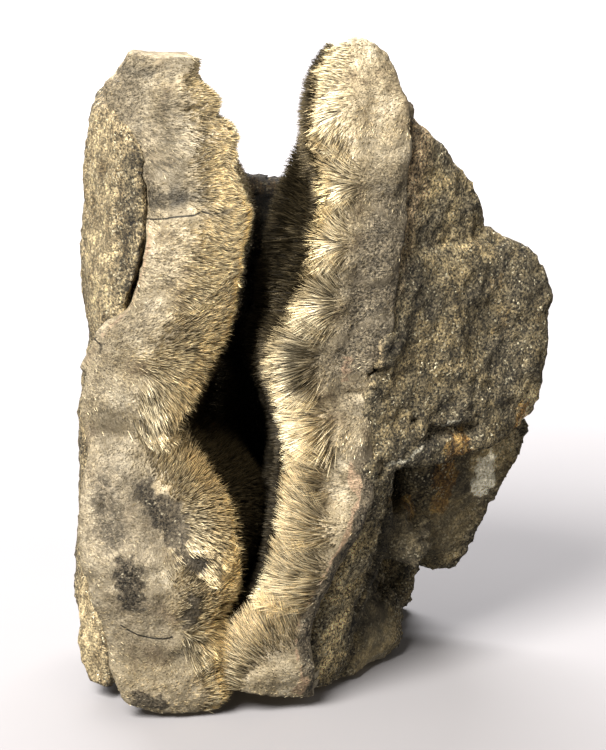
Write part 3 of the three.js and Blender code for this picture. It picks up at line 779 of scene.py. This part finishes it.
# %% Right crust in numbers
RIGHT = {
    "side": -1,
    "flank": 31,
    "calm": ((0, 0.7), (6, 0.6), (12, 0.2), (34, 0.1), (40, 0), (60, 0), (66, 0.3), (78, 0.3)),
    "coarse": (),
    "lines": 15,
    "rise": ((0, 0.9), (12, 0.9), (18, 0.6), (26, 0.15), (34, 0), (78, 0)),
    "stand_inside": 0.5,
    "over": ((0, 1), (60, 1), (68, 0.5), (78, 0.5)),
    "bulges": (((1, -6, 60), 1.9, 10), ((2, -9, 69), 0.8, 8)),
    "sprays": (
        (4.6, 70.5), (5.5, 62.5), (4.2, 55.5), (3.4, 48.6), (3.6, 42), (4, 35.2), (5.2, 26.5), (2.4, 22.6),
        (0, 18.6), (-2.6, 8),
    ),
    "stand": ((0, 0.4), (20, 0.6), (30, 0.4), (40, 0.6), (60, 0.4), (66, 1.0), (78, 1.0)),
    "turn": ((0, 1), (20, 2), (36, 2.4), (58, 2.4), (64, 2), (78, 1.2)),
    # Tarnish and painted shade on the wall inside.
    "dark": ((0, 0.97), (36, 0.97), (46, 0.93), (78, 0.93)),
    "painted_shade": ((0, 0.5), (30, 0.7), (40, 0.75), (50, 0.9), (56, 1), (60, 1), (66, 0.8), (78, 0.7)),
    "width": (
        (0, 1.5), (5, 2.5), (8, 5.5), (14, 5.5), (18, 4.5), (27, 4), (36, 4), (44, 4.5),
        (50, 3.5), (64, 3.5), (78, 2.6),
    ),
    "length": ((0, 3.2), (20, 3.8), (28, 3.6), (44, 3), (58, 2.6), (64, 1.9), (70, 1.5), (78, 1.1)),
    "lean": ((0, 0.35), (30, 0.35), (40, 0.25), (60, 0.15), (78, 0.15)),
    "grainy": ((0, 0), (30, 0.1), (38, 0.4), (43, 0.75), (58, 0.75), (62, 0.4), (67, 0.1), (78, 0.05)),
    "velvet": ((0, 1.7), (60, 1.9), (72, 1.9), (78, 0.9)),
    "dark_from": -1.5,
    # Tones: some are the metal's own, others are painted light and shade on hollows and tufts.
    "tones_and_painted_light": (
        ((5.5, 74), (6.5, 66), 4.5, 0.25), ((5.9, 40.7), (6, 39.9), 0.9, -0.75),
        ((0, 72), (1.2, 64), 2.5, -0.3), ((-1, 57.5), (0, 50), 3, -0.5),
        ((-4, 12), (-6.5, 8), 4, 0.3), ((-3.6, 48), (-2.7, 41), 3.8, -0.52),
        ((-1, 46), (0, 40), 2.6, -0.15), ((-3, 37), (0, 34), 3, 0.3),
        ((2, 32), (0, 22), 4, 0.2), ((3, 57), (3.6, 55.5), 1.2, 0.3),
        ((7.8, 60), (7.2, 42), 2.8, -0.3), ((4.5, 56), (4.5, 43), 3, -0.1),
    ),
    "tarnish": (),
    "pink": (((3.5, 41.9), (3.3, 39.2), 0.6, 0.8),),
    "cracks": (),
    "pits": (((5.9, 39.9), (6.0, 39.2), 1.2, 1.2), ((3.6, 37.4), (3.6, 37), 0.5, 0.5)),
}

# %% [markdown]
# A point of a crust lies on the broken front, on the cleft wall, or on a side that the rock hides.
# Its normal tells which. The distance from the wall says how near the cleft's edge it is. All that
# is worked out about the points is kept together in one bundle.

# %% Where each point lies
def sort_points(piece, points, about):
    here = SimpleNamespace(mesh=piece.data, points=points, normals=vectors(piece.data, "normal"))
    here.seen = points[:, [0, 2]]
    here.facing = here.normals[:, 0] * about["side"]
    here.front = (here.facing < 0.6) & (here.normals[:, 1] < -0.45)
    middle = (points[:, 2] > 18) & (points[:, 2] < 60)
    here.wall = (here.facing > 0.6) | ((here.facing > 0.25) & ~here.front & middle)
    here.near_rock = distance_to(points, ROCK_POINTS)
    here.away = distance_to(points, points[here.wall])
    store(here.mesh, "edge", here.away)
    store(here.mesh, "on_front", here.front)
    store(here.mesh, "on_wall", here.wall)
    print(piece.name, "points on the front:", here.front.sum(), "on the wall:", here.wall.sum())
    return here


# %% [markdown]
# Each point joins the spray whose centre is nearest. Real sprays meet along wavy seams, so the
# distances are waved a little before they are compared. Beside a seam the fibres are too fine to see.

# %% Which way the fibres run
SEAM_WAVE = 0.9  # how far the seams between sprays wander, mm
LINE_LENGTH = 2.0  # of the lines that the fibres draw, mm
SPRAY_SHIFT = 7.3  # moves the pattern on from spray to spray, so that no two are alike


def unit(v):
    return v / np.maximum(np.linalg.norm(v, axis=-1, keepdims=True), 1e-9)


def lay_sprays(here, about):
    points = here.points
    centres = spray_centres(about["sprays"])
    reaches = np.linalg.norm(points[:, None] - centres, axis=2)
    wave = 0.9 * points[:, :1] + 0.6 * points[:, 1:2] + 2.4 * np.arange(len(centres))
    ranked = reaches + SEAM_WAVE * np.sin(wave)
    index = ranked.argmin(1)
    nearest = np.partition(ranked, 1, axis=1)
    here.seam = smooth(nearest[:, 1] - nearest[:, 0], 1.2, 0.1)
    here.spoke = points - centres[index]
    reach = reaches[np.arange(len(points)), index]
    store(here.mesh, "fan", unit(here.spoke) * about["lines"])
    store(here.mesh, "along", reach / LINE_LENGTH + index * SPRAY_SHIFT)
    store(here.mesh, "reach", reach)
    store(here.mesh, "grow", unit(here.spoke))


# %% [markdown]
# The profiles become numbers at each point: where the free needles stand, how much shade is painted
# between them, how dark the wall behind is painted with tarnish and shade, and where the front is
# compact and grainy. Low down, the far flank is skinned with rock, and a rim of pinkish tan runs
# before it.

# %% Fur, shade and grain
def along(points, profile):
    """The value of a [height, value] profile at each point's height."""
    return np.interp(points[:, 2], *np.array(profile).T)


def shade_crust(here, about):
    mesh, points, front, wall, away = here.mesh, here.points, here.front, here.wall, here.away
    width = along(points, about["width"])
    here.low = smooth(points[:, 2], about["flank"] + 3, about["flank"] - 3) * front
    here.flank = smooth(here.facing, -0.3, -0.5) * here.low
    ahead = smooth(about["side"] * here.spoke[:, 0], -0.5, 1.5)
    fur = smooth(away, 1.15 * width, 0.3 * width) * front * (1 - here.flank) * ahead
    store(mesh, "fur", fur)
    # Painted shade: the crust is darkened between the needles near the edge, and on the wall
    # under the velvet.
    near_edge = fur * smooth(away, 0.85 * width, 0.2 * width) * along(points, about["painted_shade"])
    store(mesh, "painted_shade", np.where(wall, smooth(along(points, about["velvet"]), 0.2, 1.2), near_edge))
    behind = points[:, 1] - np.interp(points[:, 2], (0, 20, 40, 78), (-18, -19.5, -18.5, -17))
    store(mesh, "behind", behind)
    # Tarnish and painted shade darken the wall inside, from dark_from behind the front's edge.
    deep_behind_edge = smooth(behind, about["dark_from"], about["dark_from"] + 1.5)
    here.dark = along(points, about["dark"]) * wall * deep_behind_edge
    grainy = along(points, about["grainy"]) * smooth(away, width, 1.4 * width) * ~wall
    here.bared = np.clip(patches(here.seen, about["tarnish"]), 0, 1) * front
    coarse = patches(here.seen, about["coarse"]) * front
    here.grainy = np.clip(grainy + coarse + 0.6 * here.bared, here.flank, 1)
    store(mesh, "grainy", here.grainy)
    store(mesh, "rough", np.ones(len(points)))


# %% [markdown]
# The marks of the front follow: its tones, the bare and the pinkish parts, and the cracks. A crack
# is stored as the signed height above its line, so that the material can draw it sharper than the
# skin's squares are.

# %% Marks on a crust
def crack_line(points, line, deep=-14):
    """Signed height above a line of (x, height) corners, in front and within its ends only."""
    corners = np.array(line)
    height = points[:, 2] - np.interp(points[:, 0], corners[:, 0], corners[:, 1])
    inside = (points[:, 0] > line[0][0]) & (points[:, 0] < line[-1][0]) & (points[:, 1] < deep)
    return np.where(inside, height, 9)


def mark_crust(here, about):
    mesh, points, seen, front, flank = here.mesh, here.points, here.seen, here.front, here.flank
    calm = np.maximum(along(points, about["calm"]) * (1 - flank), 0.8 * here.seam)
    store(mesh, "calm", calm * (1 - here.bared))
    pink = patches(seen, about["pink"])
    turning = smooth(here.facing, -0.2, -0.32) * here.low
    rim = smooth(here.near_rock, 2.5, 1.2) * (1 - here.grainy) + pink + turning
    store(mesh, "rim", rim * front * (1 - flank))
    # The tone holds the front's own tones and painted light and shade; the far flank is made lighter, and
    # the wall is darkened by tarnish and painted shade.
    tone = np.clip(1 + patches(seen, about["tones_and_painted_light"]) * front + 0.8 * flank, 0.1, 3)
    store(mesh, "tone", tone * (1 - here.dark) * (1 - 0.35 * here.grainy))
    store(mesh, "tarnish", patches(seen, about["tarnish"]) * front + 1.2 * flank)
    signed = np.full(len(points), 9.0)
    for line in about["cracks"]:
        height = crack_line(points, line)
        signed = np.where(np.abs(height) < np.abs(signed), height, signed)
    store(mesh, "crack", signed * MM)


# %% [markdown]
# Last, the skin moves. The edge and the wall move sideways together, so the broken front stays flat.
# Towards the rock the front turns back and reaches over the rock's edge, and hidden sides are pushed
# into the rock a little. So no gap or groove shows between the two, apart from the real crack.

# %% Move a crust
CRUST_RELIEF = ((3.5, 1.0), (1.8, 0.15), (0.7, 0.2))
TUCK = 0.9  # how far a hidden side reaches towards the rock, mm
OVERLAP = 1.6  # how far the front reaches over the rock's edge, mm


def move_crust(here, about):
    points, away, side = here.points, here.away, about["side"]
    deep = smooth(points[:, 1], -16.5, -12)
    out = (along(points, about["stand"]) * (1 - deep) + about["stand_inside"] * deep) * smooth(away, 4, 0)
    for place, shift, radius in about["bulges"]:
        out += shift * smooth(np.linalg.norm(points - place, axis=1), radius, 0)
    out *= side
    to_rock = distance_to(points * FROM_FRONT, ROCK_POINTS[ROCK_POINTS[:, 1] < -8] * FROM_FRONT)
    over = smooth(to_rock, 3, 1) * smooth(here.facing, 0.3, 0) * smooth(points[:, 1], -8, -12)
    over *= along(points, about["over"])
    out -= side * OVERLAP * over * (1 - crack_open(points))
    back = along(points, about["turn"]) * smooth(away, 2, 7) * smooth(points[:, 1], -8, -15)
    hidden = smooth(here.near_rock, 1.6, 1.0) * smooth(here.facing, 0.3, 0) * (1 - crack_open(points))
    moved = TUCK * hidden - patches(here.seen, about["pits"]) * here.front
    shift = np.stack([out, back, 0 * out], axis=1)
    put_points(here.mesh, points + here.normals * moved[:, None] + shift)


for crust, points, about in ((left_crust, LEFT_POINTS, LEFT), (right_crust, RIGHT_POINTS, RIGHT)):
    here = sort_points(crust, points, about)
    lay_sprays(here, about)
    shade_crust(here, about)
    mark_crust(here, about)
    move_crust(here, about)
    finish_skin(crust, CRUST_RELIEF, CRUST)

# %% [markdown]
# ## The needles
# A needle is a hair-fine, tapering crystal, so a cone will do for it. More than a hundred thousand
# are needed, so the cone has three sides and a base, four faces in all. How far up it a point is
# gets stored on it, so that the material can darken the foot.

# %% One needle
def one_needle(tree):
    """A three-sided spike, one unit long, that carries how far up it a point is."""
    cone = add(
        tree,
        "GeometryNodeMeshCone",
        {"Vertices": 3, "Radius Top": 0.0, "Radius Bottom": 0.5, "Depth": 1.0},
        fill_type="NGON",
    )
    height = add(tree, "ShaderNodeSeparateXYZ", {"Vector": add(tree, "GeometryNodeInputPosition")})
    return add(
        tree,
        "GeometryNodeStoreNamedAttribute",
        {"Geometry": cone.outputs["Mesh"], "Name": "tip", "Value": height.outputs["Z"]},
        data_type="FLOAT",
        domain="POINT",
    )


# %% [markdown]
# A brush of needles is one needle copied many times. Points are scattered over the crust, as dense
# as the density attribute says, and on each one stands a needle that points along the fibre, with a
# little scatter of its own. Copies are cheap until they are made real at the end.

# %% Needle tree
def needle_tree():
    names = ("Needles Per Area", "Longest", "Thickness", "Scatter", "Seed")
    tree, given = start_tree("needle_brush", names)
    density = add(tree, NAMED, {"Name": "density"}, **FLOAT)
    density = add(tree, MATH, {0: density, 1: given["Needles Per Area"]}, **TIMES)
    points = add(
        tree,
        "GeometryNodeDistributePointsOnFaces",
        {"Mesh": given["Geometry"], "Seed": given["Seed"], "Density": density},
        distribute_method="RANDOM",
    )
    # A random lean is added to the fibre's direction.
    lean = add(tree, RANDOM, {0: (-1, -1, -1), 1: (1, 1, 1), "Seed": 1}, data_type="FLOAT_VECTOR")
    lean = add(tree, VECTOR_MATH, {0: lean, 3: given["Scatter"]}, **SCALED)
    grow = add(tree, NAMED, {"Name": "grow"}, data_type="FLOAT_VECTOR")
    way = add(tree, VECTOR_MATH, {0: grow, 1: lean.outputs["Vector"]}, operation="ADD")
    turn = add(tree, "FunctionNodeAlignRotationToVector", {"Vector": way.outputs["Vector"]}, axis="Z")
    share = add(tree, RANDOM, {2: 0.45, 3: 1.0, "Seed": 2}, **FLOAT)
    length = add(tree, NAMED, {"Name": "length"}, **FLOAT)
    length = add(tree, MATH, {0: length, 1: share}, **TIMES)
    length = add(tree, MATH, {0: length, 1: given["Longest"]}, **TIMES)
    thick = given["Thickness"]
    scale = add(tree, "ShaderNodeCombineXYZ", {"X": thick, "Y": thick, "Z": length})
    needle = one_needle(tree)
    brush = add(
        tree,
        "GeometryNodeInstanceOnPoints",
        {"Points": points.outputs["Points"], "Instance": needle, "Rotation": turn, "Scale": scale},
    )
    own = add(tree, RANDOM, {2: 0.0, 3: 1.0, "Seed": 3}, **FLOAT)
    brush = add(
        tree,
        "GeometryNodeStoreNamedAttribute",
        {"Geometry": brush, "Name": "shade", "Value": own},
        data_type="FLOAT",
        domain="INSTANCE",
    )
    real = add(tree, "GeometryNodeRealizeInstances", {"Geometry": brush})
    dressed = add(tree, "GeometryNodeSetMaterial", {"Geometry": real, "Material": NEEDLES})
    add(tree, "NodeGroupOutput", {"Geometry": dressed})
    return tree


BRUSH = needle_tree()
print("brush inputs:", [item.name for item in BRUSH.interface.items_tree])

# %% [markdown]
# A brush grows on a copy of the crust's skin, which gives it the places and is not kept itself. How
# dense and long the needles are and which way they point is stored on the copy first.

# %% Grow one brush
def brush_on(crust, piece_name, density, length, grow, values):
    """Needles on a crust, with one density, length and direction for each of its points."""
    piece = bpy.data.objects.new(piece_name, crust.data.copy())
    bpy.context.scene.collection.objects.link(piece)
    store(piece.data, "density", density)
    store(piece.data, "length", length)
    store(piece.data, "grow", grow)
    run_nodes(piece, BRUSH, values)
    print(piece_name, triangles(piece.data) // 4, "needles")
    return piece


# %% [markdown]
# Three brushes grow on each crust. The felt lies on the compact part of the broken front: short
# fibres, almost flat, that give the metal its brushed look. The fringe is on the same front near
# the cleft: longer needles that lean a little out, whose tips make the ragged edge. The velvet
# covers the wall inside the cleft and stands nearly upright on it.

# %% Needle pieces, thicker and fewer than the real ones, so that each still shows
FELT = {"Needles Per Area": 1.0e7, "Longest": 0.6 * MM, "Thickness": 0.09 * MM, "Scatter": 0.35}
FRINGE = {"Needles Per Area": 5.2e7, "Longest": 1 * MM, "Thickness": 0.11 * MM, "Scatter": 0.12}
VELVET = {"Needles Per Area": 2.4e7, "Longest": 1 * MM, "Thickness": 0.14 * MM, "Scatter": 0.25}
TUFTS = 0.12  # how far neighbouring tufts lean apart
REACH_OUT = 1.7  # how far the fringe stands past the edge at most, mm


def read(mesh, name, wide=1):
    flat = np.empty(len(mesh.vertices) * wide, np.float32)
    mesh.attributes[name].data.foreach_get("vector" if wide == 3 else "value", flat)
    return flat.reshape(-1, wide).squeeze().astype(float)


def crust_brushes(crust, side_name, about, seed):
    mesh = crust.data
    points, normals = vectors(mesh, "co") / MM, vectors(mesh, "normal")
    grow = read(mesh, "grow", 3)
    # Near the broken tops the fibres run sideways, not up.
    grow[:, 2] *= smooth(points[:, 2], 78, 66)
    # Beside and beyond its centre a spray still grows towards the cleft.
    side = about["side"]
    grow[:, 0] = side * np.maximum(side * grow[:, 0], 0.4)
    grow[:, 2] += along(points, about["rise"])
    grow = unit(grow)
    tufts = np.random.default_rng(seed).normal(0, TUFTS, points.shape)
    front, wall = read(mesh, "on_front") > 0.5, read(mesh, "on_wall") > 0.5
    behind, fur, grainy = read(mesh, "behind"), read(mesh, "fur"), read(mesh, "grainy")
    bare = smooth(read(mesh, "tarnish"), 0.6, 0.3)
    off_crack = smooth(np.abs(read(mesh, "crack")) / MM, 0.2, 0.4)
    lean = along(points, about["lean"])[:, None]
    flat = unit(grow - normals * (grow * normals).sum(1)[:, None])
    # The first millimetres of the wall still catch the light, and carry the fringe's needles.
    lip = wall * smooth(behind, about["dark_from"] + 1.5, about["dark_from"]) * smooth(points[:, 2], 76, 72)
    felt = brush_on(
        crust,
        side_name + "_fibre_felt",
        front * bare * (1 - fur) * (1 - 0.85 * grainy) * off_crack,
        np.ones(len(points)),
        flat + 0.06 * normals,
        {**FELT, "Seed": seed},
    )
    fringe = brush_on(
        crust,
        side_name + "_needle_fringe",
        (fur * bare + lip) * smooth(read(mesh, "reach"), 1.0, 3.0) * off_crack,
        np.minimum(along(points, about["length"]), read(mesh, "edge") + REACH_OUT),
        np.where(wall[:, None], unit(flat + normals), unit(flat + lean * normals)) + tufts,
        {**FRINGE, "Seed": seed + 1},
    )
    velvet = brush_on(
        crust,
        side_name + "_needle_velvet",
        wall * (1 - lip) * smooth(points[:, 2], 3, 7) * (along(points, about["velvet"]) > 0.2),
        along(points, about["velvet"]),
        unit(normals + 0.35 * grow) + 0.6 * tufts,
        {**VELVET, "Seed": seed + 2},
    )
    return felt, fringe, velvet


left_needles = crust_brushes(left_crust, "left", LEFT, 11)
right_needles = crust_brushes(right_crust, "right", RIGHT, 21)

# %% [markdown]
# ## Each piece in its place
# Every visible piece rides on the root, as the specimen is one body, and the imported solids that
# the pieces stand for are hidden.

# %% Tie the pieces to the solids
for piece, slot_name, node_names in (
    (rock, "host_rock", ["host_rock"]),
    (left_crust, "left_millerite", ["left_millerite"]),
    (right_crust, "right_millerite", ["right_millerite"]),
    (left_needles[0], "left_millerite", []),
    (right_needles[0], "right_millerite", []),
    (left_needles[1], "needles", []),
    (right_needles[1], "needles", []),
    (left_needles[2], "needles", ["needle_lining"]),
    (right_needles[2], "needles", ["needle_lining"]),
):
    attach(piece, "root")
    if node_names:
        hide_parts(*node_names)

# %% [markdown]
# ## Floor and light
# The photo was taken on white paper. The key is one large soft light, high in front and a little to
# the left, so the walls of the cleft stay dark and the shadow falls to the right and behind. A
# second light falls on the paper behind, which turns it white and gives the top edges their gleam.
# The paper curves up all round, so no horizon shows from any side.

# %% Paper
def paper_sweep():
    flat, bend, height, around = 0.6, 0.3, 0.55, 96
    profile = [(0.0001, 0.0), (0.2, 0.0), (flat, 0.0)]
    steps = 16
    for i in range(1, steps + 1):
        turn = math.pi / 2 * i / steps
        profile.append((flat + bend * math.sin(turn), bend * (1 - math.cos(turn))))
    profile.append((flat + bend, height))
    turns = [2 * math.pi * k / around for k in range(around)]
    corners = [(r * math.cos(t), r * math.sin(t), z) for r, z in profile for t in turns]
    faces = []
    for row in range(0, around * (len(profile) - 1), around):
        for k in range(around):
            after = (k + 1) % around
            faces.append((row + around + k, row + around + after, row + after, row + k))
    mesh = bpy.data.meshes.new("paper")
    mesh.from_pydata(corners, [], faces)
    mesh.shade_smooth()
    floor = bpy.data.objects.new("paper", mesh)
    bpy.context.scene.collection.objects.link(floor)
    material, tree, place = start_material("matt_white_paper")
    tone = add(tree, NOISE, {"Vector": place, "Scale": 30})
    colour = add(tree, RAMP, {"Fac": tone}, [(0.3, "999698"), (0.7, "9b989a")])
    shader = add(tree, PRINCIPLED, {"Base Color": colour, "Roughness": 0.9})
    add(tree, OUTPUT, {"Surface": shader})
    mesh.materials.append(material)
    # The real paper is small, so it throws little light back. Here it throws none.
    floor.visible_diffuse = False
    floor.visible_glossy = False


paper_sweep()

# %% [markdown]
# A softbox in front of a lamp gives an even rectangle of light, and an area light is just that.

# %% Lights
def softbox(name, place, aim, width, height, watts, colour=(1, 1, 1)):
    light = bpy.data.lights.new(name, "AREA")
    light.shape = "RECTANGLE"
    light.size = width
    light.size_y = height
    light.energy = watts
    light.color = colour
    lamp = bpy.data.objects.new(name, light)
    lamp.location = place
    lamp.rotation_euler = (Vector(aim) - Vector(place)).to_track_quat("-Z", "Y").to_euler()
    bpy.context.scene.collection.objects.link(lamp)


HEART = (0, 0, 0.038)
softbox("key", (-0.22, -0.42, 0.46), HEART, 0.28, 0.28, 11.5, (1, 0.98, 0.94))
softbox("paper_light", (-0.25, 0.5, 0.5), (-0.15, 0.75, 0.05), 0.9, 0.3, 22)

world = bpy.data.worlds.new("studio")
bpy.context.scene.world = world
world.use_nodes = True
world.node_tree.nodes["Background"].inputs["Color"].default_value = (1, 0.97, 0.93, 1)
world.node_tree.nodes["Background"].inputs["Strength"].default_value = 0.22
# The Standard view shows colours as they are, as the photo does, without a film curve.
bpy.context.scene.view_settings.view_transform = "Standard"
